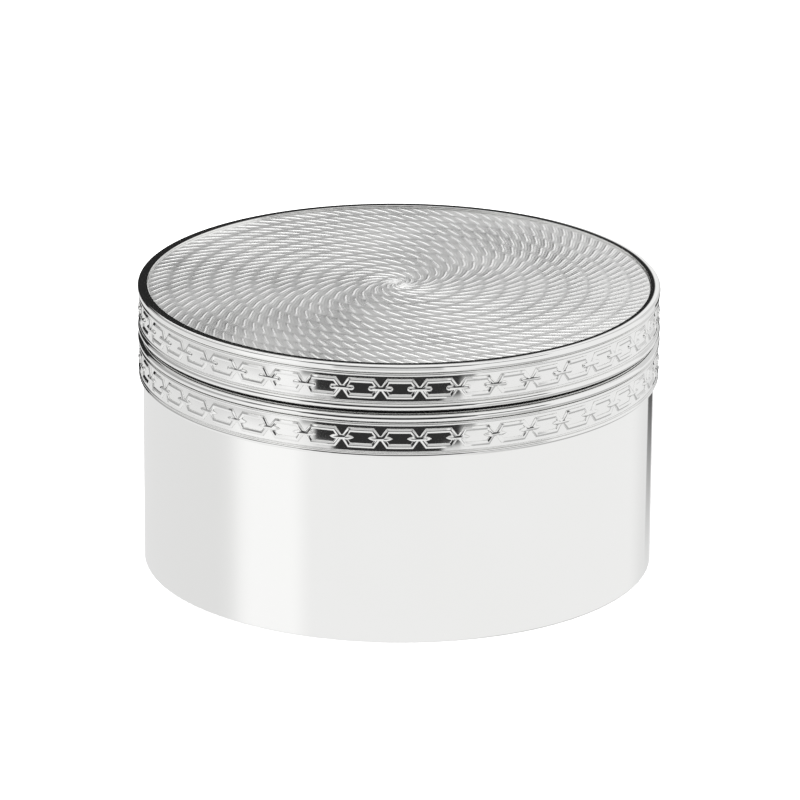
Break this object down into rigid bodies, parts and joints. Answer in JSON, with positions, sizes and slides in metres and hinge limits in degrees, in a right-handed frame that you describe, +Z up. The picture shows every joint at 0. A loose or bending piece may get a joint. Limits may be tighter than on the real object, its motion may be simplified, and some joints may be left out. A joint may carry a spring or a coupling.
{
  "type": "pill box",
  "caption": "Round silver-plated box with a lift-off lid, chain-link relief bands round both rims and an engine-turned disc set in the lid.",
  "frame": {"origin": "centre of the foot, on the surface that the box stands on", "axes": "+Z up along the box's axis; -Y is the front, where one link of each chain is centred"},
  "size_m": [0.06, 0.06, 0.0331],
  "materials": {
    "polished_silver": "polished",
    "chain_silver": "polished",
    "engine_turned_silver": "satin",
    "inner_silver": "satin"
  },
  "bodies": {
    "box": {"body_wall": "polished_silver", "base_plate": "inner_silver", "mouth_collar": "inner_silver", "body_lower_bead": "polished_silver", "body_frieze": "chain_silver", "body_top_bead": "polished_silver"},
    "lid": {"lid_pan": "inner_silver", "lid_lower_bead": "polished_silver", "lid_frieze": "chain_silver", "lid_rim": "polished_silver", "guilloche_disc": "engine_turned_silver"}
  },
  "joints": [
    {"name": "lid_lift", "type": "slide", "parent": "box", "child": "lid", "axis": [0, 0, 1], "range_m": [0, 0.03]}
  ]
}
